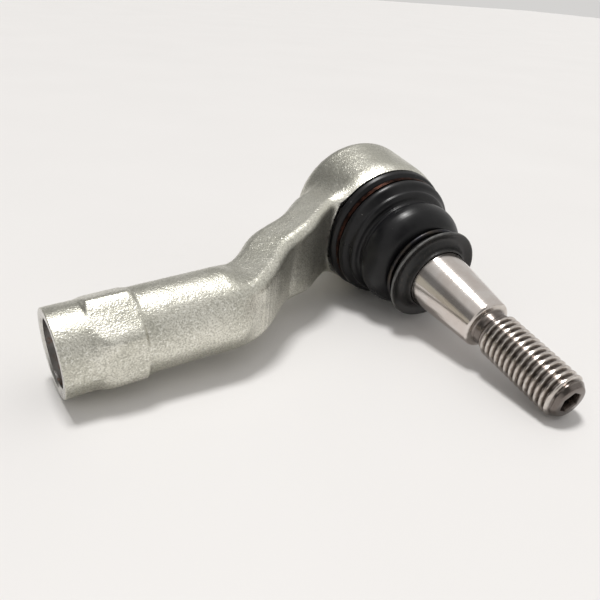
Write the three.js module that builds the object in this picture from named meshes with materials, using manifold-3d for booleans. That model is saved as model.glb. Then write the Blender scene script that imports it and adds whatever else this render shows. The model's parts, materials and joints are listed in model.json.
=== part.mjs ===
// Tie rod end: a forged body with a threaded shank, a ball joint in its round socket,
// a rubber boot with its rings, and a tapered, threaded ball stud.
//
// Every piece is drawn in the joint's own frame: the ball's centre is the origin, +Z is the
// socket's axis towards the stud's thread, and +X is the side that the shank is on.
// The last section lays the whole assembly down on the three places that it rests on.

import * as THREE from 'three';
import { mergeVertices } from 'three/addons/utils/BufferGeometryUtils.js';
import Module from 'manifold-3d';

const wasm = await Module();
wasm.setup();

// ---------------------------------------------------------------- driving dimensions, mm

const GAP = 0.3;                  // clearance between touching pieces
const ROUND = 40;                 // facets round a large circle

const BALL_R = 13.5;

// stud, measured along its own axis from the ball's centre
const STUD_TIP = 94.4;
const SHOULDER_AT = 60;
const SHOULDER_R = 8;
const TAPER_SLOPE = 0.094;        // radius gained per mm towards the ball
const TAPER_START = 29;
const NECK_R = 8.2;
const THREAD_R = 7;               // M14
const THREAD_START = 64.2;
const UNDERCUT_R = 5.9;
const TIP_R = 5.1;
const TIP_CHAMFER = 2.6;
const KEY_FLATS = 6;              // hexagon key socket in the tip
const KEY_DEPTH = 7;
const STUD_TILT_X = -1.72;        // lean of the stud at rest, degrees towards +X
const STUD_TILT_Y = 3;            // and towards +Y

// socket
const SOCKET_R = 24.1;
const SOCKET_BACK = -23.2;
const SOCKET_FACE = 3.9;
const SOCKET_EDGE = 1;            // height where the front chamfer starts
const FACE_R = 23.2;
const SPIGOT_R = 19.4;            // the boot's bead sits round this spigot
const SPIGOT_TOP = 9.4;
const BACK_ROUND = 6;
const BORE_R = 17.5;
const BORE_TOP = 6;
const BORE_CHAMFER = 1.5;
const MOUTH_R = 13.6;
const MOUTH_FLARE_R = 15.6;

// cover plate, rolled into the back of the socket
const COVER_R = 19.3;
const COVER_THICK = 2.2;
const COVER_BACK = -20.6;
const ROLLED_LIP_R = 17.4;
const COVER_DISH_R = 8;           // the middle is pressed out this far round
const COVER_DISH_EDGE_R = 10.5;
const COVER_DISH = 0.8;

// shank
const SHANK_R = 12.2;
const SHANK_END_X = 119;
const SHANK_END_Z = 34;
const SHANK_SLOPE = 5.4;          // degrees that the shank falls from its open end to the arm
const SHANK_LENGTH = 52;
const SHANK_BORE_R = 8.2;         // core of the M18 x 1.5 thread
const SHANK_BORE_DEPTH = 42;
const DRILL_POINT = 4.5;
const COUNTERBORE_R = 9.4;
const COUNTERBORE_DEPTH = 6;
const COUNTERBORE_SEAT = 8;       // depth where the thread's core starts
const SHANK_NOSE = 0.3;           // chamfer on the shank's end
const HEX_FLATS = 24.6;
const HEX_CORNER_R = 13.7;        // the forged corners are blunt
const HEX_FROM = 8.7;
const HEX_TO = 21.9;
const HEX_RAMP = 1.4;

// arm between the shank and the socket: [x, z, half depth, half width] of each section
const ARM_SECTIONS = [
  [73.2, 29.7, 8.2, 8.6],
  [66.8, 28.2, 9.2, 9.7],
  [60.3, 24, 8.2, 10.1],
  [55.1, 18.9, 7.8, 10.4],
  [49.6, 13.2, 8, 11],
  [43.7, 10, 7.9, 11.8],
  [37.5, 7, 7.5, 12.8],
  [32.6, 2.9, 7.3, 13.2],
  [25, -3.2, 7.9, 13.6],
  [16, -6, 8.4, 13.8],
];
const ARM_TAPER = 0.11;           // share by which the front is wider, and the back narrower
const ARM_STEPS = 18;
const ARM_SIDES = 24;
const ARM_SQUARENESS = 6;         // 2 is an oval section, more is squarer

// rings, boot and collar
const BOOT_FOOT = 4.3;            // the boot skews with the stud's lean above this height
const WIRE = 0.8;
const COLLAR_R = 16.3;
const COLLAR_RIM_AT = 33.2;
const COLLAR_THROAT_AT = 29.6;
const COLLAR_LIP_AT = 35.6;       // end of the thin lip that hugs the taper
const CLAMP_R = 14;
const CLAMP_AT = 28.6;

// ---------------------------------------------------------------- solids

const degrees = THREE.MathUtils.degToRad;
const WELD = 1e-4;                // corners closer than this are one corner

/** Makes a closed manifold solid, faces out, from any closed three.js geometry. */
function solid(geometry) {
  const bare = new THREE.BufferGeometry();
  const loose = geometry.index ? geometry.toNonIndexed() : geometry;
  bare.setAttribute('position', loose.attributes.position.clone());
  const welded = mergeVertices(bare, WELD);
  const at = welded.attributes.position;
  const index = welded.index.array;
  const corner = [0, 1, 2].map(() => new THREE.Vector3());
  const triangles = [];
  let volume = 0;
  for (let i = 0; i < index.length; i += 3) {
    const [a, b, c] = index.slice(i, i + 3);
    if (a === b || b === c || c === a) continue;
    triangles.push(a, b, c);
    [a, b, c].forEach((vertex, k) => corner[k].fromBufferAttribute(at, vertex));
    volume += corner[0].dot(corner[1].clone().cross(corner[2]));
  }
  if (volume < 0) triangles.reverse();
  return new wasm.Manifold(new wasm.Mesh({
    numProp: 3,
    vertProperties: new Float32Array(at.array),
    triVerts: new Uint32Array(triangles),
  }));
}

/** Turns a manifold solid back into a three.js geometry. */
function geometryOf(body) {
  const mesh = body.getMesh();
  const geometry = new THREE.BufferGeometry();
  geometry.setAttribute('position', new THREE.BufferAttribute(new Float32Array(mesh.vertProperties), 3));
  geometry.setIndex(new THREE.BufferAttribute(new Uint32Array(mesh.triVerts), 1));
  return geometry;
}

/** A solid of revolution about Z from [radius, height] points. */
function turned(points, facets = ROUND) {
  const profile = points.map(([radius, height]) => new THREE.Vector2(radius, height));
  const geometry = new THREE.LatheGeometry(profile, facets);
  geometry.rotateX(Math.PI / 2);
  return solid(geometry);
}

/** The same for a ring, whose profile closes on itself. */
function turnedRing(points, facets = ROUND) {
  return turned([...points, points[0]], facets);
}

/** A ring of round wire about Z. */
function wireRing(radius, height, wire, sides) {
  const points = [];
  for (let i = 0; i < sides; i += 1) {
    const turn = (2 * Math.PI * i) / sides;
    points.push([radius + wire * Math.cos(turn), height + wire * Math.sin(turn)]);
  }
  return turnedRing(points);
}

/** [radius, height] points along a circular arc, both ends included. */
function arc(centreR, centreZ, radius, fromDegrees, toDegrees, steps) {
  const points = [];
  for (let i = 0; i <= steps; i += 1) {
    const turn = degrees(fromDegrees + ((toDegrees - fromDegrees) * i) / steps);
    points.push([centreR + radius * Math.cos(turn), centreZ + radius * Math.sin(turn)]);
  }
  return points;
}

/** A hexagonal prism along Z, corners on +Y and -Y. */
function hexagonPrism(flats, from, to) {
  const cornerR = flats / Math.sqrt(3);
  const geometry = new THREE.CylinderGeometry(cornerR, cornerR, to - from, 6);
  geometry.rotateX(Math.PI / 2);
  geometry.translate(0, 0, (from + to) / 2);
  return solid(geometry);
}

/** The same with blunt corners that slope away at both ends. */
function bluntHexagon(flats, cornerR, from, to, ramp) {
  return hexagonPrism(flats, from, to).intersect(turned([
    [0, from], [cornerR - ramp, from], [cornerR, from + ramp],
    [cornerR, to - ramp], [cornerR - ramp, to], [0, to],
  ]));
}

function piece(name, body, colour, roughness, metalness) {
  const material = new THREE.MeshStandardMaterial({ color: colour, roughness, metalness });
  const mesh = new THREE.Mesh(geometryOf(body), material);
  mesh.name = name;
  return mesh;
}

const STEEL = ['#b9b9ae', 0.5, 0.8];
const BRIGHT_STEEL = ['#b8b2ab', 0.22, 1];
const SPRING_STEEL = ['#5c4a40', 0.4, 0.8];
const RUBBER = ['#1b1b1b', 0.5, 0];
const RACE_PLASTIC = ['#e6e2d6', 0.4, 0];

// ---------------------------------------------------------------- forged body

/** The axis of the shank, from its open end towards the socket. */
const shankEnd = new THREE.Vector3(SHANK_END_X, 0, SHANK_END_Z);
const shankInward = new THREE.Vector3(-Math.cos(degrees(SHANK_SLOPE)), 0, -Math.sin(degrees(SHANK_SLOPE)));

/** Moves a solid drawn along +Z so that it runs along the shank from its open end. */
function alongShank(body) {
  const turn = new THREE.Quaternion().setFromUnitVectors(new THREE.Vector3(0, 0, 1), shankInward);
  const place = new THREE.Matrix4().compose(shankEnd, turn, new THREE.Vector3(1, 1, 1));
  return body.transform(place.toArray());
}

/** Outside of the socket before it is faced. */
function socketBlank() {
  return turned([
    [0, SOCKET_BACK],
    ...arc(SOCKET_R - BACK_ROUND, SOCKET_BACK + BACK_ROUND, BACK_ROUND, -90, 0, 6),
    [SOCKET_R, SOCKET_EDGE],
    [FACE_R - 0.4, SOCKET_FACE + 1],
    [FACE_R - 1.6, SPIGOT_TOP],
    [0, SPIGOT_TOP],
  ]);
}

function socketInside() {
  const recessTop = COVER_BACK + COVER_THICK + GAP;
  const below = SOCKET_BACK - 1;
  return turned([
    [0, below],
    [ROLLED_LIP_R, below],
    [ROLLED_LIP_R, COVER_BACK - GAP],
    [COVER_R + GAP, COVER_BACK - GAP],
    [COVER_R + GAP, recessTop],
    [BORE_R, recessTop],
    [BORE_R, BORE_TOP - BORE_CHAMFER],
    [BORE_R - BORE_CHAMFER, BORE_TOP],
    [MOUTH_R, BORE_TOP],
    [MOUTH_FLARE_R, SPIGOT_TOP + 1],
    [0, SPIGOT_TOP + 1],
  ]);
}

/** The arm: a tube of rounded rectangles that follows its sections. */
function arm() {
  const path = new THREE.CatmullRomCurve3(ARM_SECTIONS.map(([x, z]) => new THREE.Vector3(x, 0, z)));
  const size = new THREE.CatmullRomCurve3(ARM_SECTIONS.map(([, , d, w]) => new THREE.Vector3(d, w, 0)));
  const geometry = new THREE.CylinderGeometry(1, 1, 1, ARM_SIDES, ARM_STEPS);
  const at = geometry.attributes.position;
  for (let i = 0; i < at.count; i += 1) {
    const along = THREE.MathUtils.clamp(0.5 - at.getY(i), 0, 1);
    const [u, v] = [at.getX(i), at.getZ(i)];
    const reach = (Math.abs(u) ** ARM_SQUARENESS + Math.abs(v) ** ARM_SQUARENESS) ** (1 / ARM_SQUARENESS);
    const grow = reach > 0 ? Math.hypot(u, v) / reach : 0;
    const centre = path.getPoint(along);
    const heading = path.getTangent(along);
    const half = size.getPoint(along);
    const offset = u * grow * half.x;
    const sideways = v * grow * half.y * (1 - ARM_TAPER * u * grow);
    at.setXYZ(i, centre.x - heading.z * offset, sideways, centre.z + heading.x * offset);
  }
  return solid(geometry);
}

/** The cut that faces the socket, leaves the spigot and clears the arm from the boot's seat. */
function facingCut() {
  const clear = FACE_R + 0.9;
  const top = SPIGOT_TOP + 6;
  return turnedRing([[SPIGOT_R, SOCKET_FACE], [clear, SOCKET_FACE], [clear, top], [SPIGOT_R, top]]);
}

function forgedBody() {
  const bore = turned([
    [0, -1],
    [COUNTERBORE_R, -1],
    [COUNTERBORE_R, COUNTERBORE_DEPTH],
    [SHANK_BORE_R, COUNTERBORE_SEAT],
    [SHANK_BORE_R, SHANK_BORE_DEPTH],
    [0, SHANK_BORE_DEPTH + DRILL_POINT],
  ], 32);
  const tube = turned([
    [0, 0], [SHANK_R - SHANK_NOSE, 0], [SHANK_R, SHANK_NOSE],
    [SHANK_R, SHANK_LENGTH - 6], [SHANK_R - 4, SHANK_LENGTH + 1], [0, SHANK_LENGTH + 3],
  ]);
  const hexagon = bluntHexagon(HEX_FLATS, HEX_CORNER_R, HEX_FROM, HEX_TO, HEX_RAMP);
  return socketBlank()
    .add(arm())
    .add(alongShank(tube))
    .add(alongShank(hexagon))
    .subtract(facingCut())
    .subtract(socketInside())
    .subtract(alongShank(bore));
}

// ---------------------------------------------------------------- inside the socket

function coverPlate() {
  const front = COVER_BACK + COVER_THICK;
  return turned([
    [0, COVER_BACK - COVER_DISH],
    [COVER_DISH_R, COVER_BACK - COVER_DISH],
    [COVER_DISH_EDGE_R, COVER_BACK],
    [COVER_R, COVER_BACK],
    [COVER_R, front],
    [COVER_DISH_EDGE_R, front],
    [COVER_DISH_R, front - COVER_DISH],
    [0, front - COVER_DISH],
  ]);
}

/** Polymer race above the ball's equator. */
function upperRace() {
  const inner = BALL_R + GAP;
  const outer = BORE_R - GAP;
  const top = 5.4;
  const foot = 0.4;
  const angle = (height) => THREE.MathUtils.radToDeg(Math.asin(height / inner));
  return turnedRing([
    [outer, foot],
    [outer, BORE_TOP - BORE_CHAMFER - GAP],
    [outer - BORE_CHAMFER, top],
    ...arc(0, 0, inner, angle(top), angle(foot), 4),
  ]);
}

/** Polymer race below the equator, pushed up by the spring. */
function lowerRace() {
  const inner = BALL_R + GAP;
  const outer = BORE_R - GAP;
  const top = -0.4;
  const bottom = -12.2;
  const angle = (height) => THREE.MathUtils.radToDeg(Math.asin(height / inner));
  return turnedRing([
    ...arc(0, 0, inner, angle(bottom), angle(top), 6),
    [outer, top],
    [outer, bottom + 4],
    [outer - 4, bottom],
  ]);
}

/** Coned disc spring between the cover and the lower race. */
function preloadSpring() {
  const thick = 1;
  const inner = 8;
  const outer = 16.2;
  const innerAt = -13.7;
  const outerAt = COVER_BACK + COVER_THICK + GAP;
  return turnedRing([
    [outer, outerAt], [outer, outerAt + thick], [inner, innerAt + thick], [inner, innerAt],
  ]);
}

// ---------------------------------------------------------------- ball stud

/** Radius of the stud's taper at a distance from the ball's centre. */
function taperR(height) {
  return SHOULDER_R + TAPER_SLOPE * (SHOULDER_AT - height);
}

function ballStud() {
  const neckFoot = Math.sqrt(BALL_R ** 2 - NECK_R ** 2);
  const neckAngle = THREE.MathUtils.radToDeg(Math.asin(neckFoot / BALL_R));
  const body = turned([
    ...arc(0, 0, BALL_R, -90, neckAngle, 12),
    [NECK_R, 20],
    [taperR(TAPER_START) - 0.8, TAPER_START - 3],
    [taperR(TAPER_START), TAPER_START],
    [SHOULDER_R, SHOULDER_AT],
    [UNDERCUT_R + 0.8, SHOULDER_AT + 0.6],
    [UNDERCUT_R, SHOULDER_AT + 1.6],
    [UNDERCUT_R, THREAD_START - 1.2],
    [THREAD_R, THREAD_START],
    [THREAD_R, STUD_TIP - TIP_CHAMFER],
    [TIP_R, STUD_TIP],
    [0, STUD_TIP],
  ], 40);
  return body.subtract(hexagonPrism(KEY_FLATS, STUD_TIP - KEY_DEPTH, STUD_TIP + 1));
}

// ---------------------------------------------------------------- boot, rings and collar

/** Outline of the boot's outer skin, big end first. */
function bootSkin() {
  return [
    [22.9, BOOT_FOOT], [23.1, 6.2], [21.3, 6.9], [20.7, 8.2], [21.3, 9.6],
    [21.5, 10.8], [20.9, 12.4], [19.2, 13.8], [17.6, 15.2], [16.6, 16.4], [17.2, 17.8],
    [18.2, 19.6], [18.3, 21.6], [17.4, 23.8], [16, 25.8], [14, 26.9], [12.6, 27.2], [12.6, 28.3],
  ];
}

/** Simple closed boot: a skin of even thickness between the housing and the collar. */
function boot() {
  const inside = [
    [11.7, 28.3], [11.7, 26.4], [14.4, 24.6], [15.9, 22.6], [16.6, 21], [16.4, 19.6],
    [15.2, 17.6], [15, 16], [16.4, 14.2], [18.6, 12.4], [19.9, 11],
    [SPIGOT_R + 2 * GAP, SPIGOT_TOP], [SPIGOT_R + 2 * GAP, BOOT_FOOT],
  ];
  const leanX = Math.tan(degrees(STUD_TILT_X));
  const leanY = Math.tan(degrees(STUD_TILT_Y));
  const skewed = new THREE.Matrix4().set(
    1, 0, leanX, -leanX * BOOT_FOOT,
    0, 1, leanY, -leanY * BOOT_FOOT,
    0, 0, 1, 0,
    0, 0, 0, 1,
  );
  return turnedRing([...bootSkin(), ...inside]).transform(skewed.toArray());
}

/** Flat-wound wire ring in the groove of the boot's big end. */
function bootHousingRing() {
  return turnedRing([[21.7, 7.3], [22.6, 7.3], [22.6, 9], [21.9, 9], [21.1, 8.2]]);
}

function bootStudClamp() {
  return wireRing(CLAMP_R, CLAMP_AT, WIRE, 6);
}

/** Dished collar on the taper that closes the boot's small end. */
function studCollar() {
  const throat = taperR(COLLAR_THROAT_AT) + GAP;
  const lip = taperR(COLLAR_LIP_AT) + GAP;
  return turnedRing([
    [throat, COLLAR_THROAT_AT],
    [throat + 2.4, COLLAR_THROAT_AT],
    [COLLAR_R - 0.5, COLLAR_RIM_AT - 1.1],
    [COLLAR_R, COLLAR_RIM_AT - 0.5],
    [COLLAR_R - 0.2, COLLAR_RIM_AT],
    [throat + 1.9, COLLAR_THROAT_AT + 2.3],
    [lip + 0.9, COLLAR_THROAT_AT + 3.8],
    [lip + 0.5, COLLAR_LIP_AT],
    [lip, COLLAR_LIP_AT],
  ]);
}

// ---------------------------------------------------------------- assembly

const joint = new THREE.Group();
joint.add(
  piece('forged_body', forgedBody(), ...STEEL),
  piece('cover_plate', coverPlate(), ...STEEL),
  piece('preload_spring', preloadSpring(), ...SPRING_STEEL),
  piece('lower_ball_race', lowerRace(), ...RACE_PLASTIC),
  piece('upper_ball_race', upperRace(), ...RACE_PLASTIC),
  piece('boot', boot(), ...RUBBER),
  piece('boot_housing_ring', bootHousingRing(), ...SPRING_STEEL),
);

// The stud leans a little in the socket, and carries the collar and its clamp with it.
const leaning = new THREE.Group();
leaning.rotation.set(-degrees(STUD_TILT_Y), degrees(STUD_TILT_X), 0);
leaning.add(
  piece('ball_stud', ballStud(), ...BRIGHT_STEEL),
  piece('stud_collar', studCollar(), ...RUBBER),
  piece('boot_stud_clamp', bootStudClamp(), ...SPRING_STEEL),
);
joint.add(leaning);

// ---------------------------------------------------------------- lying on a level surface

/** The point of a circle that is furthest in a direction. */
function furthest({ centre, axis, radius }, direction) {
  const sideways = direction.clone().addScaledVector(axis, -direction.dot(axis)).normalize();
  return centre.clone().addScaledVector(sideways, radius);
}

/** The direction of down, when the assembly rests on three of its circular edges. */
function downWhenRestingOn(edges) {
  let down = new THREE.Vector3(0, 1, 0);
  for (let pass = 0; pass < 12; pass += 1) {
    const [a, b, c] = edges.map((edge) => furthest(edge, down));
    const normal = b.sub(a).cross(c.sub(a)).normalize();
    down = normal.dot(down) < 0 ? normal.negate() : normal;
  }
  return down;
}

leaning.updateMatrix();
const studAxis = new THREE.Vector3(0, 0, 1).transformDirection(leaning.matrix);
const down = downWhenRestingOn([
  { centre: new THREE.Vector3(0, 0, SOCKET_EDGE), axis: new THREE.Vector3(0, 0, 1), radius: SOCKET_R },
  { centre: studAxis.clone().multiplyScalar(STUD_TIP - TIP_CHAMFER), axis: studAxis, radius: THREAD_R },
  {
    centre: shankEnd.clone().addScaledVector(shankInward, HEX_FROM + HEX_RAMP),
    axis: shankInward,
    radius: HEX_CORNER_R,
  },
]);

// +Z is up, and +X runs level from the shank's open end towards the socket.
const up = down.clone().negate();
const along = new THREE.Vector3(-1, 0, 0).addScaledVector(up, up.x).normalize();
const across = up.clone().cross(along);
const laid = new THREE.Group();
laid.quaternion.setFromRotationMatrix(new THREE.Matrix4().makeBasis(along, across, up).transpose());
laid.add(joint);

// The origin is the middle of the base of the whole assembly's box.
const object = new THREE.Group();
object.add(laid);
const box = new THREE.Box3().setFromObject(object, true);
const middle = box.getCenter(new THREE.Vector3());
laid.position.set(-middle.x, -middle.y, -box.min.z);

export default object;
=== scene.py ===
"""A forged steering tie rod end, lying on a pale table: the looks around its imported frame.

Pieces are drawn in millimetres in one of three local frames, and place() takes them to the row frame:
  JOINT  the ball's centre is the origin, +Z is the socket's axis towards the thread, +X the shank's side
  STUD   the same origin, with +Z along the stud, which leans a little in the socket
  SHANK  the middle of the shank's open end is the origin, with +Z going in along the bore
"""
import itertools
import json
import math

import bpy
import numpy as np
from mathutils import Matrix, Quaternion, Vector, noise


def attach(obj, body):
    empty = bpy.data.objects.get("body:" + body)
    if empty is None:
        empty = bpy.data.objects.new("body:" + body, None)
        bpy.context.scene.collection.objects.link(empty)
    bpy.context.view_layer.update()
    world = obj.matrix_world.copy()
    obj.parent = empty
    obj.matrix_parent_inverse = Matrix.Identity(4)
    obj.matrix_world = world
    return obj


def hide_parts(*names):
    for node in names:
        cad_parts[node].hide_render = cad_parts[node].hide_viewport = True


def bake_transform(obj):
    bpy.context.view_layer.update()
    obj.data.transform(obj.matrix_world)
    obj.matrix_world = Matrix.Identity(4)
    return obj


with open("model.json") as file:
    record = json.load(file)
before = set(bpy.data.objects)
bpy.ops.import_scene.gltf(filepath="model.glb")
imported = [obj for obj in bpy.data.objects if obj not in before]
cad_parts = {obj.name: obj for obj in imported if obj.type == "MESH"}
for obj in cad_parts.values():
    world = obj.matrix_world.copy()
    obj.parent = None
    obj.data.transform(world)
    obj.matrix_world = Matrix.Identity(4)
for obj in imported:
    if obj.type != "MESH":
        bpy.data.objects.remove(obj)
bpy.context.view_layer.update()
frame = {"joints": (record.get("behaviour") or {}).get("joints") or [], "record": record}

# ------------------------------------------------------------------ driving dimensions, mm

BALL_R = 13.5
NECK_R = 8.2
TAPER_START = 29.0

SHOULDER_AT = 60.0
SHOULDER_R = 8.0
TAPER_SLOPE = 0.094
THREAD_R = 7.0                    # M14 x 2
THREAD_PITCH = 2.0
THREAD_DEPTH = 1.15
THREAD_START = 64.2
UNDERCUT_R = 5.95
STUD_TIP = 94.4
TIP_R = 5.1
TIP_CHAMFER = 2.6
KEY_FLATS = 6.0
KEY_DEPTH = 6.5
KEY_MOUTH, KEY_WALL = -1, -2      # stand for the key socket's hexagon in the stud's outline

SOCKET_R = 24.1
SOCKET_BACK = -23.2
SOCKET_BACK_ROUND = 6.0
SOCKET_EDGE = 1.0                 # height where the front chamfer starts
SOCKET_FACE = 3.9
FACE_R = 23.2
SPIGOT_R = 19.4
SPIGOT_TOP = 9.4
BORE_R = 17.5
BORE_TOP = 6.0
BORE_CHAMFER = 1.5
MOUTH_R = 13.6
MOUTH_FLARE_R = 15.6

COVER_R = 19.3
COVER_THICK = 2.2
COVER_BACK = -20.6
ROLLED_LIP_R = 17.4
COVER_DISH_R = 8.0                # the middle is pressed out this far round
COVER_DISH_EDGE_R = 10.5
COVER_DISH = 0.8

SHANK_R = 12.2
SHANK_LENGTH = 52.0
SHANK_NOSE = 0.3                  # chamfer on the shank's end
HEX_FLATS = 24.6
HEX_CORNER_R = 13.7
HEX_FROM = 8.7
HEX_TO = 21.9
HEX_RAMP = 1.4
SHANK_BORE_R = 8.2                # core of the M18 x 1.5 thread
SHANK_THREAD_R = 9.0
SHANK_THREAD_PITCH = 1.5
SHANK_BORE_DEPTH = 42.0
DRILL_POINT = 4.5
COUNTERBORE_R = 9.4
COUNTERBORE_DEPTH = 6.0

# the arm's sections: [x, z, half depth, half width] in the joint's frame
ARM_SECTIONS = [
    [73.2, 29.7, 8.2, 8.6],
    [66.8, 28.2, 9.2, 9.7],
    [60.3, 24, 8.2, 10.1],
    [55.1, 18.9, 7.8, 10.4],
    [49.6, 13.2, 8, 11],
    [43.7, 10, 7.9, 11.8],
    [37.5, 7, 7.5, 12.8],
    [32.6, 2.9, 7.3, 13.2],
    [25, -3.2, 7.9, 13.6],
    [16, -6, 8.4, 13.8],
]
ARM_TAPER = 0.11                  # share by which the front is wider, and the back narrower
ARM_CORNER = 3.8

BOOT_FOOT = 4.3
BOOT_CREASE_AT = 16.7
BOOT_END = 28.3
RING_R = 21.65                    # middle of the wire in the boot's groove
RING_WIRE = 0.24
RING_TURNS = 3
RING_FROM = 7.55
CLAMP_R = 14.0
CLAMP_AT = 28.6
CLAMP_WIRE = 0.8
COLLAR_R = 16.3
COLLAR_RIM_AT = 33.2
COLLAR_THROAT_AT = 29.6
COLLAR_LIP_AT = 35.6
GAP = 0.3

# ------------------------------------------------------------------ local frames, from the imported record

MM = 0.001
joints = {joint["name"]: joint for joint in frame["joints"]}
mounts = {mount["name"]: mount for mount in frame["record"]["mounts"]}


def local_frame(origin, x_hint, z_axis):
    """Matrix from millimetres in a local frame to metres in the row frame."""
    z = Vector(z_axis).normalized()
    x = Vector(x_hint)
    x = (x - z * x.dot(z)).normalized()
    rotation = Matrix((x, z.cross(x), z)).transposed()
    return Matrix.Translation(origin) @ rotation.to_4x4() @ Matrix.Scale(MM, 4)


ball_centre = Vector(joints["stud_spin"]["pos_m"])
shank_side = Vector(joints["stud_swing_sideways"]["axis"])
socket_axis = -Vector(mounts["cover_plate_back"]["axis"])
cross_axis = socket_axis.cross(shank_side)
shank_inward = -Vector(mounts["shank_open_end"]["axis"])
END_MOUNT_RADIUS = 10.65          # how far the shank's mount point is from its axis
shank_end = Vector(mounts["shank_open_end"]["pos_m"]) - cross_axis * END_MOUNT_RADIUS * MM

JOINT = local_frame(ball_centre, shank_side, socket_axis)
STUD = local_frame(ball_centre, shank_side, joints["stud_spin"]["axis"])
SHANK = local_frame(shank_end, cross_axis.cross(shank_inward), shank_inward)
SHANK_IN_JOINT = JOINT.inverted() @ SHANK


# ------------------------------------------------------------------ outlines

def rounded(corners, closed=False, steps=5):
    """An outline through (radius, height, fillet) corners, with each corner rounded by its fillet."""
    count = len(corners)
    outline = []
    for i, (radius, height, fillet) in enumerate(corners):
        here = np.array((radius, height), float)
        is_end = not closed and i in (0, count - 1)
        if is_end or not fillet:
            outline.append(here)
            continue
        before = np.array(corners[i - 1][:2], float) - here
        after = np.array(corners[(i + 1) % count][:2], float) - here
        reach_before = min(fillet, 0.48 * np.linalg.norm(before))
        reach_after = min(fillet, 0.48 * np.linalg.norm(after))
        start = here + before / np.linalg.norm(before) * reach_before
        end = here + after / np.linalg.norm(after) * reach_after
        for t in np.linspace(0, 1, steps + 1):
            outline.append((1 - t) ** 2 * start + 2 * t * (1 - t) * here + t ** 2 * end)
    return np.array(outline)


def spline(points, per_span=6):
    """A smooth outline through points, as a Catmull-Rom curve."""
    p = np.array(points, float)
    p = np.vstack((2 * p[0] - p[1], p, 2 * p[-1] - p[-2]))
    outline = []
    for a, b, c, d in zip(p, p[1:], p[2:], p[3:]):
        for t in np.linspace(0, 1, per_span, endpoint=False):
            outline.append(0.5 * (2 * b + (c - a) * t + (2 * a - 5 * b + 4 * c - d) * t ** 2
                                  + (3 * b - a - 3 * c + d) * t ** 3))
    outline.append(p[-2])
    return np.array(outline)


def arc(centre, radius, start_degrees, end_degrees, steps):
    """Points along a circular arc in an outline."""
    turn = np.radians(np.linspace(start_degrees, end_degrees, steps + 1))
    return np.stack((centre[0] + radius * np.cos(turn), centre[1] + radius * np.sin(turn)), 1)


# ------------------------------------------------------------------ meshes

def new_piece(name, vertices, faces):
    mesh = bpy.data.meshes.new(name)
    mesh.from_pydata(np.asarray(vertices).tolist(), [], faces)
    mesh.validate()
    piece = bpy.data.objects.new(name, mesh)
    bpy.context.scene.collection.objects.link(piece)
    return piece


def ring_faces(rings, columns, closed):
    """Quads between rings of vertices, ring by ring."""
    faces = []
    for ring in range(rings if closed else rings - 1):
        above = (ring + 1) % rings
        for column in range(columns):
            beside = (column + 1) % columns
            faces.append((ring * columns + column, ring * columns + beside,
                          above * columns + beside, above * columns + column))
    return faces


def turned(name, outline, columns=128, closed=False, radius_at=None, bend=None):
    """A piece turned about Z from an outline of (radius, height) points.

    An open outline starts and ends on the axis. radius_at(angle, radius, height) may change the
    radius with the angle, as a thread does, and bend(points) may move the finished points.
    """
    outline = np.asarray(outline, float)
    start, end = (0, len(outline)) if closed else (1, len(outline) - 1)
    angle = np.linspace(0, 2 * math.pi, columns, endpoint=False)
    rings = []
    for radius, height in outline[start:end]:
        radii = np.full(columns, radius) if radius_at is None else radius_at(angle, radius, height)
        rings.append(np.stack((radii * np.cos(angle), radii * np.sin(angle), np.full(columns, height)), 1))
    vertices = np.vstack(rings)
    faces = ring_faces(len(rings), columns, closed)
    if not closed:
        foot, top = len(vertices), len(vertices) + 1
        last = (len(rings) - 1) * columns
        vertices = np.vstack((vertices, (0, 0, outline[0][1]), (0, 0, outline[-1][1])))
        for column in range(columns):
            beside = (column + 1) % columns
            faces.append((foot, beside, column))
            faces.append((top, last + column, last + beside))
    if bend is not None:
        vertices = bend(vertices)
    piece = new_piece(name, vertices, faces)
    face_outwards(piece)
    return piece


def face_outwards(piece):
    """Turns a closed mesh inside out if its volume is negative."""
    mesh = piece.data
    mesh.calc_loop_triangles()
    at = np.empty(len(mesh.vertices) * 3)
    mesh.vertices.foreach_get("co", at)
    at = at.reshape(-1, 3)
    corners = np.empty(len(mesh.loop_triangles) * 3, int)
    mesh.loop_triangles.foreach_get("vertices", corners)
    a, b, c = at[corners.reshape(-1, 3)].transpose(1, 0, 2)
    if np.einsum("ij,ij->i", a, np.cross(b, c)).sum() < 0:
        mesh.flip_normals()


def wire(name, path, radius, sides=10, closed=False):
    """A round wire along a path about Z. The ends of an open wire are closed by small domes."""
    path = np.asarray(path, float)
    along = np.gradient(path, axis=0)
    if closed:
        along = np.roll(path, -1, 0) - np.roll(path, 1, 0)
    along /= np.linalg.norm(along, axis=1)[:, None]
    outward = path * (1, 1, 0)
    outward /= np.linalg.norm(outward, axis=1)[:, None]
    across = np.cross(along, outward)
    turn = np.linspace(0, 2 * math.pi, sides, endpoint=False)
    size = np.full(len(path), radius)
    if not closed:
        size[[0, -1]] *= 0.5
    ring = (outward[:, None] * np.cos(turn)[None, :, None] + across[:, None] * np.sin(turn)[None, :, None])
    vertices = (path[:, None] + ring * size[:, None, None]).reshape(-1, 3)
    faces = ring_faces(len(path), sides, closed)
    if not closed:
        last = (len(path) - 1) * sides
        faces.append(tuple(range(sides)))
        faces.append(tuple(last + i for i in reversed(range(sides))))
    piece = new_piece(name, vertices, faces)
    face_outwards(piece)
    return piece


def thread_wave(angle, height, pitch):
    """Share of a rolled thread's depth, 0 at the root and 1 at the crest."""
    phase = (height / pitch - angle / (2 * math.pi)) % 1
    flank = np.abs(2 * phase - 1)
    ramp = np.clip((flank - 0.16) / 0.62, 0, 1)
    return ramp * ramp * (3 - 2 * ramp)


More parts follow.
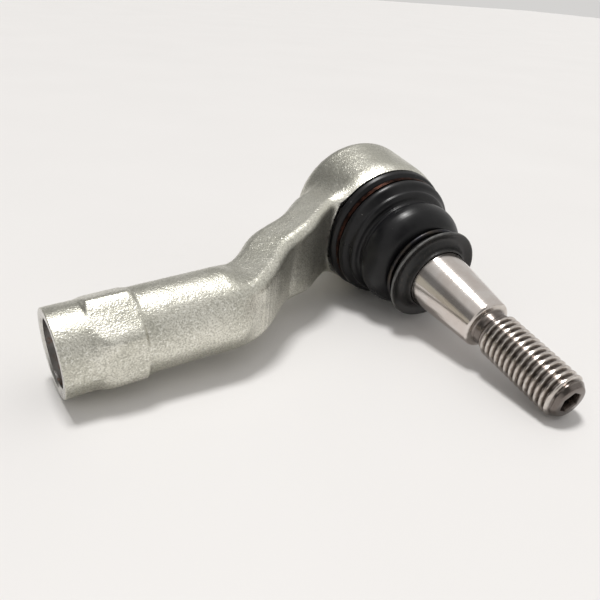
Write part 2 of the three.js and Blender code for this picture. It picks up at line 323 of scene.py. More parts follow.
def cut(piece, cutter):
    """Takes the cutter out of the piece, and removes the cutter."""
    modifier = piece.modifiers.new("cut", "BOOLEAN")
    modifier.operation = "DIFFERENCE"
    modifier.solver = "MANIFOLD"
    modifier.object = cutter
    graph = bpy.context.evaluated_depsgraph_get()
    mesh = bpy.data.meshes.new_from_object(piece.evaluated_get(graph))
    piece.modifiers.clear()
    piece.data = mesh
    bpy.data.objects.remove(cutter)


def place(piece, local, materials, sharp_degrees=32):
    """Takes a finished piece to the row frame, keeps its local millimetres for its materials."""
    mesh = piece.data
    points = np.empty(len(mesh.vertices) * 3, np.float32)
    mesh.vertices.foreach_get("co", points)
    kept = mesh.attributes.new("local_mm", "FLOAT_VECTOR", "POINT")
    kept.data.foreach_set("vector", points)
    mesh.transform(local)
    mesh.materials.clear()
    for material in materials:
        mesh.materials.append(material)
    mesh.shade_smooth()
    mesh.set_sharp_from_angle(angle=math.radians(sharp_degrees))
    return piece


# ------------------------------------------------------------------ material building blocks

class Shader:
    """A node material with short calls for what the materials here share."""

    def __init__(self, name):
        self.material = bpy.data.materials.new(name)
        self.material.use_nodes = True
        self.tree = self.material.node_tree
        self.surface = self.tree.nodes["Principled BSDF"]
        place_node = self.tree.nodes.new("ShaderNodeAttribute")
        place_node.attribute_name = "local_mm"
        self.at = place_node.outputs["Vector"]

    def link(self, value, socket):
        if isinstance(value, bpy.types.NodeSocket):
            self.tree.links.new(value, socket)
        else:
            socket.default_value = value

    def set(self, **values):
        """Sets the surface's own sockets, with _ for a space in their names."""
        for name, value in values.items():
            self.link(value, self.surface.inputs[name.replace("_", " ")])
        return self

    def math(self, operation, a, b=0.0, c=0.0):
        node = self.tree.nodes.new("ShaderNodeMath")
        node.operation = operation
        for socket, value in zip(node.inputs, (a, b, c)):
            self.link(value, socket)
        return node.outputs[0]

    def scaled(self, factors):
        """The place in millimetres, stretched by a factor along each local axis."""
        node = self.tree.nodes.new("ShaderNodeVectorMath")
        node.operation = "MULTIPLY"
        self.link(self.at, node.inputs[0])
        node.inputs[1].default_value = factors
        return node.outputs[0]

    def noise(self, per_mm, detail=2.0, roughness=0.5, at=None, distortion=0.0):
        """Soft noise with this many features to a millimetre."""
        node = self.tree.nodes.new("ShaderNodeTexNoise")
        self.link(at or self.at, node.inputs["Vector"])
        node.inputs["Scale"].default_value = per_mm
        node.inputs["Detail"].default_value = detail
        node.inputs["Roughness"].default_value = roughness
        node.inputs["Distortion"].default_value = distortion
        return node.outputs["Fac"]

    def cells(self, per_mm):
        """Cells with this many to a millimetre."""
        node = self.tree.nodes.new("ShaderNodeTexVoronoi")
        node.feature = "F1"
        self.link(self.at, node.inputs["Vector"])
        node.inputs["Scale"].default_value = per_mm
        return node

    def ramp(self, value, low, high, to_low=0.0, to_high=1.0):
        """Maps low..high of a value to to_low..to_high, clamped."""
        node = self.tree.nodes.new("ShaderNodeMapRange")
        node.interpolation_type = "SMOOTHSTEP"
        for name, number in zip(("Value", "From Min", "From Max", "To Min", "To Max"),
                                (value, low, high, to_low, to_high)):
            self.link(number, node.inputs[name])
        return node.outputs["Result"]

    def mix(self, share, first, second):
        """A colour between two colours."""
        node = self.tree.nodes.new("ShaderNodeMix")
        node.data_type = "RGBA"
        self.link(share, node.inputs["Factor"])
        for name, colour in (("A", first), ("B", second)):
            socket = next(s for s in node.inputs if s.name == name and s.type == "RGBA")
            self.link(colour if isinstance(colour, bpy.types.NodeSocket) else (*colour, 1), socket)
        return next(s for s in node.outputs if s.type == "RGBA")

    def bump(self, height, millimetres, strength=1.0, under=None):
        """A bump whose height of 1 stands this many millimetres proud."""
        node = self.tree.nodes.new("ShaderNodeBump")
        node.inputs["Strength"].default_value = strength
        node.inputs["Distance"].default_value = millimetres * MM
        self.link(height, node.inputs["Height"])
        if under is not None:
            self.link(under, node.inputs["Normal"])
        return node.outputs["Normal"]

    def radius_and_height(self):
        """Distance from the local axis and height along it, in millimetres."""
        split = self.tree.nodes.new("ShaderNodeSeparateXYZ")
        self.link(self.at, split.inputs[0])
        x, y, z = split.outputs
        squares = self.math("ADD", self.math("MULTIPLY", x, x), self.math("MULTIPLY", y, y))
        return self.math("SQRT", squares), z


# ------------------------------------------------------------------ materials

def forged_zinc():
    """Zinc-plated forging: a fine blasted grain with glints, soft patches and a few dark smudges."""
    shader = Shader("forged_zinc")
    grain = shader.noise(2.0, detail=2, roughness=0.6)
    hammer = shader.noise(0.6, detail=3, roughness=0.6)
    patches = shader.noise(0.075, detail=3, roughness=0.6, distortion=0.6)
    smudge = shader.ramp(shader.noise(0.16, detail=5, roughness=0.7), 0.60, 0.76)
    pale = (0.80, 0.785, 0.70)
    dull = (0.63, 0.62, 0.54)
    colour = shader.mix(shader.ramp(patches, 0.35, 0.68), dull, pale)
    colour = shader.mix(shader.ramp(grain, 0.38, 0.52, 0.50, 0.0), colour, (0.32, 0.31, 0.27))
    colour = shader.mix(shader.ramp(grain, 0.57, 0.68, 0.0, 0.8), colour, (0.97, 0.97, 0.90))
    colour = shader.mix(shader.math("MULTIPLY", smudge, 0.45), colour, (0.20, 0.19, 0.16))
    rough = shader.ramp(grain, 0.35, 0.7, 0.40, 0.27)
    normal = shader.bump(hammer, 0.12, 0.6)
    normal = shader.bump(grain, 0.14, 1.0, under=normal)
    return shader.set(Base_Color=colour, Metallic=0.9, Roughness=rough, Normal=normal).material


def machined_zinc():
    """Zinc over turned steel: fine concentric tool marks."""
    shader = Shader("machined_zinc")
    lines = shader.noise(1.0, detail=3, roughness=0.6, at=shader.scaled((2.5, 2.5, 9.0)))
    tint = shader.noise(0.35, detail=3)
    colour = shader.mix(shader.ramp(tint, 0.35, 0.7), (0.50, 0.49, 0.46), (0.66, 0.65, 0.61))
    rough = shader.ramp(lines, 0.3, 0.7, 0.22, 0.36)
    return shader.set(Base_Color=colour, Metallic=1.0, Roughness=rough,
                      Normal=shader.bump(lines, 0.03, 0.5)).material


def bore_steel():
    """Bare oiled steel inside the shank's threaded bore, with a little rust in random blotches."""
    shader = Shader("bore_steel")
    blotch = shader.noise(0.5, detail=4, roughness=0.65)
    colour = shader.mix(shader.ramp(blotch, 0.5, 0.75), (0.36, 0.35, 0.34), (0.27, 0.14, 0.09))
    lines = shader.noise(1.0, detail=2, at=shader.scaled((0.2, 0.2, 7.0)))
    rough = shader.ramp(blotch, 0.3, 0.7, 0.28, 0.42)
    return shader.set(Base_Color=colour, Metallic=1.0, Roughness=rough,
                      Normal=shader.bump(lines, 0.03, 0.5)).material


def polished_stud():
    """Ground and polished steel, slightly warm, with faint grinding lines and handling scuffs."""
    shader = Shader("polished_stud")
    lines = shader.noise(1.0, detail=3, roughness=0.7, at=shader.scaled((0.12, 0.12, 8.0)))
    scuffs = shader.ramp(shader.noise(0.9, detail=5, roughness=0.75), 0.60, 0.74)
    film = shader.noise(0.14, detail=3)
    colour = shader.mix(shader.ramp(film, 0.35, 0.7), (0.66, 0.60, 0.56), (0.74, 0.70, 0.67))
    colour = shader.mix(shader.math("MULTIPLY", scuffs, 0.35), colour, (0.30, 0.27, 0.24))
    ground = shader.ramp(lines, 0.3, 0.7, 0.11, 0.19)
    rough = shader.math("ADD", ground, shader.math("MULTIPLY", scuffs, 0.16))
    return shader.set(Base_Color=colour, Metallic=1.0, Roughness=rough,
                      Normal=shader.bump(lines, 0.012, 0.35)).material


def rolled_thread():
    """The stud's rolled thread: the same steel, a little duller, with painted shade darkening the roots."""
    shader = Shader("rolled_thread")
    radius, _ = shader.radius_and_height()
    root = shader.ramp(radius, THREAD_R - THREAD_DEPTH, THREAD_R - 0.2, 1.0, 0.0)
    blotch = shader.noise(0.7, detail=4, roughness=0.6)
    colour = shader.mix(shader.ramp(blotch, 0.35, 0.7), (0.55, 0.50, 0.46), (0.70, 0.66, 0.62))
    # painted shade: the colour darkens towards the thread's roots
    colour = shader.mix(shader.math("MULTIPLY", root, 0.85), colour, (0.11, 0.09, 0.08))
    grain = shader.noise(2.6, detail=3)
    rough = shader.ramp(blotch, 0.3, 0.7, 0.17, 0.27)
    return shader.set(Base_Color=colour, Metallic=1.0, Roughness=rough,
                      Normal=shader.bump(grain, 0.02, 0.5)).material


def boot_rubber():
    """Black moulded rubber with a soft sheen, faint mould ripples and a few specks of dust."""
    shader = Shader("boot_rubber")
    bloom = shader.noise(0.11, detail=4, roughness=0.6)
    skin_grain = shader.noise(2.2, detail=3, roughness=0.6)
    ripples = shader.noise(1.0, detail=2, at=shader.scaled((0.10, 0.10, 1.3)))
    speck = shader.cells(0.55)
    dust = shader.ramp(speck.outputs["Distance"], 0.035, 0.075, 1.0, 0.0)
    rare = shader.math("GREATER_THAN", shader.noise(0.55, detail=0), 0.66)
    dust = shader.math("MULTIPLY", dust, rare)
    colour = shader.mix(shader.ramp(bloom, 0.35, 0.7), (0.005, 0.005, 0.006), (0.012, 0.012, 0.013))
    colour = shader.mix(dust, colour, (0.42, 0.41, 0.39))
    rough = shader.ramp(bloom, 0.3, 0.7, 0.27, 0.38)
    normal = shader.bump(ripples, 0.08, 0.5)
    normal = shader.bump(skin_grain, 0.012, 0.6, under=normal)
    return shader.set(Base_Color=colour, Metallic=0.0, Roughness=rough, Specular_IOR_Level=0.32,
                      Normal=normal).material


def collar_black():
    """Black moulded collar: brownish cross grain in its dish, and a rim painted a patchy light grey all
    round.
    """
    shader = Shader("collar_black")
    radius, height = shader.radius_and_height()
    streaks = shader.noise(1.0, detail=4, roughness=0.7, at=shader.scaled((2.2, 0.5, 1.4)), distortion=0.4)
    rim = shader.ramp(radius, COLLAR_R - 0.75, COLLAR_R - 0.1)
    # the rim is painted a patchy lighter grey all round
    grey_rim = shader.math("MULTIPLY", rim, shader.ramp(shader.noise(0.5, detail=4), 0.3, 0.6, 0.35, 1.0))
    colour = shader.mix(shader.ramp(streaks, 0.48, 0.75), (0.012, 0.012, 0.012), (0.050, 0.041, 0.033))
    colour = shader.mix(grey_rim, colour, (0.13, 0.13, 0.125))
    rough = shader.ramp(streaks, 0.3, 0.7, 0.36, 0.52)
    return shader.set(Base_Color=colour, Metallic=0.0, Roughness=rough,
                      Normal=shader.bump(streaks, 0.04, 0.5)).material


def copper_wire():
    """Dark copper-brown spring wire."""
    shader = Shader("copper_wire")
    blotch = shader.noise(0.5, detail=4, roughness=0.6)
    colour = shader.mix(shader.ramp(blotch, 0.35, 0.65), (0.010, 0.006, 0.005), (0.060, 0.026, 0.018))
    grain = shader.noise(4.0, detail=2)
    return shader.set(Base_Color=colour, Metallic=1.0, Roughness=shader.ramp(blotch, 0.3, 0.7, 0.30, 0.45),
                      Normal=shader.bump(grain, 0.02, 0.5)).material


def spring_steel():
    """Dark tempered spring steel under oil."""
    shader = Shader("spring_steel")
    heat = shader.noise(0.25, detail=3)
    colour = shader.mix(shader.ramp(heat, 0.35, 0.7), (0.035, 0.035, 0.04), (0.07, 0.06, 0.05))
    grain = shader.noise(2.0, detail=3, at=shader.scaled((1.0, 1.0, 3.0)))
    return shader.set(Base_Color=colour, Metallic=1.0, Roughness=shader.ramp(grain, 0.3, 0.7, 0.28, 0.44),
                      Normal=shader.bump(grain, 0.02, 0.5)).material


def race_polymer():
    """Natural acetal bearing race, greasy and slightly mottled."""
    shader = Shader("race_polymer")
    mottle = shader.noise(0.3, detail=3)
    colour = shader.mix(shader.ramp(mottle, 0.35, 0.7), (0.70, 0.66, 0.56), (0.82, 0.79, 0.71))
    grain = shader.noise(2.5, detail=2)
    return shader.set(Base_Color=colour, Metallic=0.0, Roughness=shader.ramp(mottle, 0.3, 0.7, 0.25, 0.4),
                      Normal=shader.bump(grain, 0.015, 0.5)).material


def table_top():
    """A plain pale table with the faintest unevenness."""
    shader = Shader("table_top")
    coordinates = shader.tree.nodes.new("ShaderNodeTexCoord")
    tone = shader.noise(9.0, detail=3, at=coordinates.outputs["Object"])
    colour = shader.mix(tone, (0.79, 0.775, 0.765), (0.83, 0.815, 0.805))
    return shader.set(Base_Color=colour, Roughness=0.62).material


FORGED_ZINC = forged_zinc()
MACHINED_ZINC = machined_zinc()
BORE_STEEL = bore_steel()
POLISHED_STUD = polished_stud()
ROLLED_THREAD = rolled_thread()
BOOT_RUBBER = boot_rubber()
COLLAR_BLACK = collar_black()
COPPER_WIRE = copper_wire()
SPRING_STEEL = spring_steel()
RACE_POLYMER = race_polymer()

# ------------------------------------------------------------------ forging

FORGING_PITCH = 0.42              # size of a mesh cell, mm
FORGING_SHRINK = 0.12             # keeps its unevenness inside its nominal size, mm
NECK_FILLET = 4.0
TUBE_FILLET = 3.0


def soft_min(a, b, reach):
    """The smaller of two distances, with a fillet of this reach where they meet."""
    share = np.clip(0.5 + 0.5 * (b - a) / reach, 0, 1)
    return b * (1 - share) + a * share - reach * share * (1 - share)


def soft_max(a, b, reach):
    return -soft_min(-a, -b, reach)


shank_origin = SHANK_IN_JOINT.translation
shank_axis = (SHANK_IN_JOINT.to_3x3() @ Vector((0, 0, 1))).normalized()
shank_front = (SHANK_IN_JOINT.to_3x3() @ Vector((1, 0, 0))).normalized()
ARM = spline(ARM_SECTIONS, 4)


def socket_distance(x, y, z):
    """Signed distance to the round head before it is bored and faced."""
    radius = np.hypot(x, y)
    over_r = radius - (SOCKET_R - SOCKET_BACK_ROUND)
    over_z = (SOCKET_BACK + SOCKET_BACK_ROUND) - z
    barrel = (np.hypot(np.maximum(over_r, 0), np.maximum(over_z, 0))
              + np.minimum(np.maximum(over_r, over_z), 0) - SOCKET_BACK_ROUND)
    rise, run = SOCKET_FACE - SOCKET_EDGE, SOCKET_R - FACE_R
    chamfer = ((radius - SOCKET_R) * rise + (z - SOCKET_EDGE) * run) / math.hypot(rise, run)
    head = soft_max(soft_max(barrel, chamfer, 0.7), z - (SOCKET_FACE + 0.7), 0.5)
    spigot = np.maximum(np.maximum(radius - (FACE_R - 1.6), z - SPIGOT_TOP), -z)
    return np.minimum(head, spigot)


def arm_distance(x, y, z):
    """Signed distance to the cranked arm, a rounded bar through its sections."""
    flat_x, flat_z = np.broadcast_arrays(x, z)
    nearest = np.full(flat_x.shape, 1e9)
    offset, depth, width = (np.zeros(flat_x.shape) for _ in range(3))
    for a, b in zip(ARM, ARM[1:]):
        run_x, run_z = b[:2] - a[:2]
        square = run_x ** 2 + run_z ** 2
        gap_x, gap_z = flat_x - a[0], flat_z - a[1]
        share = np.clip((gap_x * run_x + gap_z * run_z) / square, 0, 1)
        far = (gap_x - share * run_x) ** 2 + (gap_z - share * run_z) ** 2
        nearer = far < nearest
        nearest = np.where(nearer, far, nearest)
        side = np.where(run_z * gap_x - run_x * gap_z > 0, 1, -1)
        offset = np.where(nearer, side * np.sqrt(far), offset)
        depth = np.where(nearer, a[2] + share * (b[2] - a[2]), depth)
        width = np.where(nearer, a[3] + share * (b[3] - a[3]), width)
    width = width * (1 + ARM_TAPER * np.clip(offset / depth, -1, 1))
    over_n = np.abs(offset) - (depth - ARM_CORNER)
    over_y = np.abs(y) - (width - ARM_CORNER)
    return (np.hypot(np.maximum(over_n, 0), np.maximum(over_y, 0))
            + np.minimum(np.maximum(over_n, over_y), 0) - ARM_CORNER)


def shank_distance(x, y, z):
    """Signed distance to the round shank with its hexagon lugs."""
    gap_x, gap_z = x - shank_origin.x, z - shank_origin.z
    along = gap_x * shank_axis.x + gap_z * shank_axis.z
    front = gap_x * shank_front.x + gap_z * shank_front.z
    radius = np.hypot(front, y)
    dome = np.hypot(radius, np.maximum(along - (SHANK_LENGTH - 5), 0) * 1.25) - SHANK_R
    tube = np.maximum(dome, -along - 1)
    flats = np.abs(front) - HEX_FLATS / 2
    for turn in (math.pi / 3, -math.pi / 3):
        flats = soft_max(flats, np.abs(front * math.cos(turn) + y * math.sin(turn)) - HEX_FLATS / 2, 0.2)
    lugs = soft_max(flats, radius - HEX_CORNER_R, 0.9)
    towards_front = np.abs(front) / np.maximum(radius, 0.1)
    for over, slope in ((HEX_FROM - along, 0.7 + 1.8 * towards_front), (along - HEX_TO, 0.6)):
        lugs = soft_max(lugs, (over + (radius - HEX_CORNER_R + HEX_RAMP) * slope) / np.maximum(slope, 1), 0.6)
    return soft_min(tube, np.maximum(lugs, -along - 1), 0.3)


def forging_distance(x, y, z):
    """Signed distance to the whole forging before it is cut."""
    bar = soft_min(shank_distance(x, y, z), arm_distance(x, y, z), TUBE_FILLET)
    return soft_min(socket_distance(x, y, z), bar, NECK_FILLET)


def skin_of(distance, low, high, pitch):
    """Quads over the zero level of a distance function, one vertex to each cell that it crosses."""
    axes = [np.arange(a, b, pitch) for a, b in zip(low, high)]
    grid = np.meshgrid(*axes, indexing="ij", sparse=True)
    field = np.broadcast_to(distance(*grid), [len(a) for a in axes])
    corners = np.array(list(itertools.product((0, 1), repeat=3)))
    inside = field < 0
    cells = np.array(field.shape) - 1
    count = sum(inside[i:i + cells[0], j:j + cells[1], k:k + cells[2]].astype(np.int8) for i, j, k in corners)
    crossed = np.argwhere((count > 0) & (count < 8))
    number = np.full(cells, -1)
    number[tuple(crossed.T)] = np.arange(len(crossed))
    total = np.zeros((len(crossed), 3))
    hits = np.zeros(len(crossed))
    for a, b in itertools.combinations(corners, 2):
        if np.abs(a - b).sum() != 1:
            continue
        at_a, at_b = (field[tuple((crossed + end).T)] for end in (a, b))
        crosses = (at_a < 0) != (at_b < 0)
        share = np.where(crosses, at_a / np.where(crosses, at_a - at_b, 1), 0)
        total += np.where(crosses[:, None], a + share[:, None] * (b - a), 0)
        hits += crosses
    points = np.array(low) + pitch * (crossed + total / hits[:, None])
    faces = []
    for axis in range(3):
        step = np.eye(3, dtype=int)[axis]
        side, other = (np.eye(3, dtype=int)[(axis + k) % 3] for k in (1, 2))
        here = inside[tuple(slice(0, n - s) for n, s in zip(field.shape, step))]
        there = inside[tuple(slice(s, None) for s in step)]
        for goes_out in (True, False):
            edges = np.argwhere((here & ~there) if goes_out else (~here & there))
            quad = [number[tuple((edges - shift).T)] for shift in (0 * side, side, side + other, other)]
            faces.append(np.stack(quad if goes_out else quad[::-1], 1))
    return points, np.vstack(faces)


def settle(points, distance, passes=3):
    """Moves points onto the zero level of a distance function."""
    nudge = 0.02
    for _ in range(passes):
        slope = np.stack([
            (distance(*(points + nudge * axis).T) - distance(*(points - nudge * axis).T)) / (2 * nudge)
            for axis in np.eye(3)], 1)
        level = distance(*points.T)
        points = points - (level / np.maximum((slope ** 2).sum(1), 0.25))[:, None] * slope
    return points


def moved(piece, matrix):
    piece.data.transform(matrix)
    return piece


def facing_cutter():
    """Faces the socket, leaves the spigot, and clears the arm from the boot's seat."""
    clear = FACE_R + 0.9
    top = SPIGOT_TOP + 8
    return turned("facing", rounded([(SPIGOT_R, SOCKET_FACE, 0.3), (clear, SOCKET_FACE, 0.4),
                                     (clear, top, 0), (SPIGOT_R, top, 0)], closed=True), 160, closed=True)


def socket_cutter():
    """The socket's inside: the ball's bore, its mouth, and the cover's recess under a rolled lip."""
    recess_top = COVER_BACK + COVER_THICK + GAP
    return turned("socket_inside", rounded([
        (0, SOCKET_BACK - 2, 0), (ROLLED_LIP_R + 2.4, SOCKET_BACK - 2, 0),
        (ROLLED_LIP_R + 1.6, SOCKET_BACK, 0.8), (ROLLED_LIP_R, SOCKET_BACK + 1.1, 0.8),
        (ROLLED_LIP_R, COVER_BACK - GAP, 0.2),
        (COVER_R + GAP, COVER_BACK - GAP, 0), (COVER_R + GAP, recess_top, 0), (BORE_R, recess_top, 0),
        (BORE_R, BORE_TOP - BORE_CHAMFER, 0.5), (BORE_R - BORE_CHAMFER, BORE_TOP, 0.5),
        (MOUTH_R, BORE_TOP, 0.3), (MOUTH_FLARE_R, SPIGOT_TOP + 1, 0), (0, SPIGOT_TOP + 1, 0)]), 160)


def shank_bore_cutter():
    """Counterbore, thread and drill point, cut into the shank's open end."""
    thread_from, thread_to = COUNTERBORE_DEPTH + 1.6, SHANK_BORE_DEPTH - 3
    step = SHANK_THREAD_PITCH / 8
    outline = [(0, -1.6), (COUNTERBORE_R + 2.1, -1.6), (COUNTERBORE_R, 0.55),
               (COUNTERBORE_R, COUNTERBORE_DEPTH)]
    outline += [(SHANK_BORE_R, height) for height in np.arange(thread_from, thread_to, step)]
    outline += [(SHANK_BORE_R, SHANK_BORE_DEPTH), (0, SHANK_BORE_DEPTH + DRILL_POINT)]

    def radius_at(angle, radius, height):
        if radius != SHANK_BORE_R or height > thread_to:
            return np.full(len(angle), radius)
        fade = np.clip((height - thread_from) / 1.0, 0, 1) * np.clip((thread_to - height) / 1.5, 0, 1)
        groove = thread_wave(angle, height, SHANK_THREAD_PITCH) * (SHANK_THREAD_R - SHANK_BORE_R)
        return radius + groove * fade

    cutter = turned("shank_bore", outline, 128, radius_at=radius_at)
    return moved(cutter, SHANK_IN_JOINT)


def end_cutter():
    """Squares the shank's open end off and takes its sharp corner away."""
    outline = [(0, -6), (SHANK_R + 4, -6), (SHANK_R + 4, SHANK_NOSE + 4), (SHANK_R - SHANK_NOSE, 0), (0, 0)]
    cutter = turned("shank_end", outline, 96)
    return moved(cutter, SHANK_IN_JOINT)


def roughened(points):
    """A forging's slight unevenness, kept inside its nominal size."""
    wobble = [-FORGING_SHRINK + 0.05 * noise.noise(Vector(p) * 0.22) + 0.030 * noise.noise(Vector(p) * 0.9)
              for p in points]
    nudge = 0.02
    normal = np.stack([forging_distance(*(points + nudge * a).T) - forging_distance(*(points - nudge * a).T)
                       for a in np.eye(3)], 1)
    normal /= np.linalg.norm(normal, axis=1)[:, None]
    return points + normal * np.array(wobble)[:, None]


def forging_surfaces(piece):
    """Material of each face: 0 as forged, 1 turned, 2 the threaded bore."""
    mesh = piece.data
    centres = np.empty(len(mesh.polygons) * 3)
    mesh.polygons.foreach_get("center", centres)
    centres = centres.reshape(-1, 3)
    gap = centres - np.array(shank_origin)
    along = gap @ np.array(shank_axis)
    radius = np.hypot(gap @ np.array(shank_front), centres[:, 1])
    socket_radius = np.hypot(centres[:, 0], centres[:, 1])
    end_face = (np.abs(along) < 0.02) & (radius < SHANK_R + 0.5)
    bore = (radius < COUNTERBORE_R + 0.8) & (along < SHANK_BORE_DEPTH + DRILL_POINT + 0.5) & (along > -0.1)
    mouth_chamfer = bore & (along < 0.6)
    facing = (socket_radius < FACE_R + 1.0) & (centres[:, 2] > SOCKET_FACE - 0.05)
    inside = (socket_radius < COVER_R + 0.6) & (centres[:, 2] > SOCKET_BACK - 0.5)
    index = np.zeros(len(mesh.polygons), int)
    index[end_face | facing | inside] = 1
    index[bore] = 2
    index[mouth_chamfer] = 1
    return index


def make_forging():
    low = (-SOCKET_R - 2, -SOCKET_R - 2, SOCKET_BACK - 2)
    high = (shank_origin.x + 5, SOCKET_R + 2, shank_origin.z + HEX_CORNER_R + 8)
    points, faces = skin_of(forging_distance, low, high, FORGING_PITCH)
    points = roughened(settle(points, forging_distance))
    piece = new_piece("steel_forging", points, faces.tolist())
    face_outwards(piece)
    for cutter in (facing_cutter, socket_cutter, end_cutter, shank_bore_cutter):
        cut(piece, cutter())
    surfaces = forging_surfaces(piece)
    place(piece, JOINT, [FORGED_ZINC, MACHINED_ZINC, BORE_STEEL], sharp_degrees=38)
    piece.data.polygons.foreach_set("material_index", surfaces)
    return piece


# ------------------------------------------------------------------ inside the socket

def make_cover():
    """Closing plate with a pressed dish, held by the rolled lip."""
    front = COVER_BACK + COVER_THICK
    piece = turned("cover_plate_pressing", rounded([
        (0, COVER_BACK - COVER_DISH, 0), (COVER_DISH_R, COVER_BACK - COVER_DISH, 1.2),
        (COVER_DISH_EDGE_R, COVER_BACK, 1.2), (COVER_R, COVER_BACK, 0.3),
        (COVER_R, front, 0.3), (COVER_DISH_EDGE_R, front, 1.2),
        (COVER_DISH_R, front - COVER_DISH, 1.2), (0, front - COVER_DISH, 0)]))
    return place(piece, JOINT, [MACHINED_ZINC])


def race_outline(top, bottom, shoulder):
    """A race's outline: its wall round the ball, then its shoulder on the socket's bore."""
    inner = BALL_R + GAP
    outer = BORE_R - GAP
    angle = [math.degrees(math.asin(height / inner)) for height in (bottom, top)]
    wall = arc((0, 0), inner, angle[0], angle[1], 14)
    return np.vstack((wall, shoulder(outer)))


def make_upper_race():
    top, foot = 5.4, 0.4
    outline = race_outline(top, foot, lambda outer: [
        (outer - BORE_CHAMFER, top), (outer, BORE_TOP - BORE_CHAMFER - GAP), (outer, foot)])
    return place(turned("upper_race_ring", outline, closed=True), JOINT, [RACE_POLYMER])


def make_lower_race():
    top, foot = -0.4, -12.2
    outline = race_outline(top, foot, lambda outer: [(outer, top), (outer, foot + 4), (outer - 4, foot)])
    return place(turned("lower_race_cup", outline, closed=True), JOINT, [RACE_POLYMER])


def make_preload_spring():
    thick = 1
    inner, inner_at = 8, -13.7
    outer, outer_at = 16.2, COVER_BACK + COVER_THICK + GAP
    outline = rounded([(outer, outer_at, 0.3), (outer, outer_at + thick, 0.3),
                       (inner, inner_at + thick, 0.3), (inner, inner_at, 0.3)], closed=True)
    return place(turned("coned_spring", outline, closed=True), JOINT, [SPRING_STEEL])


# ------------------------------------------------------------------ ball stud

def taper_radius(height):
    """Radius of the stud's taper at a distance from the ball's centre."""
    return SHOULDER_R + TAPER_SLOPE * (SHOULDER_AT - height)


def hexagon_radius(angle, flats):
    """Radius of a hexagon with a corner at angle 90 degrees."""
    turn = (angle + math.pi / 6) % (math.pi / 3) - math.pi / 6
    return flats / 2 / np.cos(turn)


def make_stud():
    """Ball, neck, taper, undercut, thread and the key socket in the tip, in one piece."""
    neck_foot = math.sqrt(BALL_R ** 2 - NECK_R ** 2)
    neck_angle = math.degrees(math.acos(NECK_R / BALL_R))
    ball = arc((0, 0), BALL_R, -90, neck_angle, 44)
    body = rounded([
        (NECK_R, neck_foot, 0), (NECK_R, 20, 3.5), (taper_radius(TAPER_START) - 0.8, TAPER_START - 3, 1.5),
        (taper_radius(TAPER_START), TAPER_START, 0.8), (SHOULDER_R, SHOULDER_AT, 0.35),
        (SHOULDER_R - 0.5, SHOULDER_AT + 0.45, 0.3), (UNDERCUT_R, SHOULDER_AT + 0.9, 0.5),
        (UNDERCUT_R, THREAD_START - 1.3, 0.4), (THREAD_R - THREAD_DEPTH, THREAD_START - 0.9, 0)])
    thread_from, thread_to = THREAD_START - 0.8, STUD_TIP - 0.6
    rows = np.arange(thread_from, thread_to, THREAD_PITCH / 16)
    thread = np.stack((np.full(len(rows), THREAD_R), rows), 1)
    tip = np.array([(TIP_R + 0.25, STUD_TIP - 0.3), (TIP_R, STUD_TIP - 0.06), (TIP_R - 0.15, STUD_TIP)])
    key_foot = STUD_TIP - KEY_DEPTH
    key_rows = [(KEY_MOUTH, STUD_TIP), (KEY_WALL, STUD_TIP - 0.45), (KEY_WALL, key_foot), (1.2, key_foot),
                (0, key_foot - 0.9)]
    chamfer = (THREAD_R - TIP_R) / TIP_CHAMFER

    def radius_at(angle, radius, height):
        if radius in (KEY_MOUTH, KEY_WALL):
            return hexagon_radius(angle, KEY_FLATS + (0.35 if radius == KEY_MOUTH else 0.0))
        if radius != THREAD_R or not thread_from <= height <= thread_to:
            return np.full(len(angle), radius)
        run_in = np.clip((height - thread_from) / THREAD_PITCH - 0.15 * np.cos(angle), 0, 1)
        crest = THREAD_R - THREAD_DEPTH * (1 - thread_wave(angle, height, THREAD_PITCH) * run_in)
        return np.minimum(crest, TIP_R + (STUD_TIP - height) * chamfer)

    outline = np.vstack((ball, body[1:], thread, tip, key_rows))
    piece = turned("ball_stud_steel", outline, 144, radius_at=radius_at)
    heights = np.array([polygon.center.z for polygon in piece.data.polygons])
    place(piece, STUD, [POLISHED_STUD, ROLLED_THREAD], sharp_degrees=34)
    piece.data.polygons.foreach_set("material_index", (heights > SHOULDER_AT + 0.3).astype(int))
    return piece


# ------------------------------------------------------------------ boot, rings and collar

stud_axis = Vector(joints["stud_spin"]["axis"])
lean_axis = np.array((JOINT.to_3x3().inverted() @ socket_axis.cross(stud_axis)).normalized())
lean_angle = socket_axis.angle(stud_axis)


def leaning(points):
    """Turns points about the ball's centre: not at all at the boot's foot, and fully at its end."""
    share = np.clip((points[:, 2] - BOOT_FOOT - 3) / (BOOT_END - 4 - BOOT_FOOT), 0, 1)
    angle = lean_angle * share * share * (3 - 2 * share)
    cos, sin = np.cos(angle)[:, None], np.sin(angle)[:, None]
    return (points * cos + np.cross(lean_axis, points) * sin
            + lean_axis * (points @ lean_axis)[:, None] * (1 - cos))


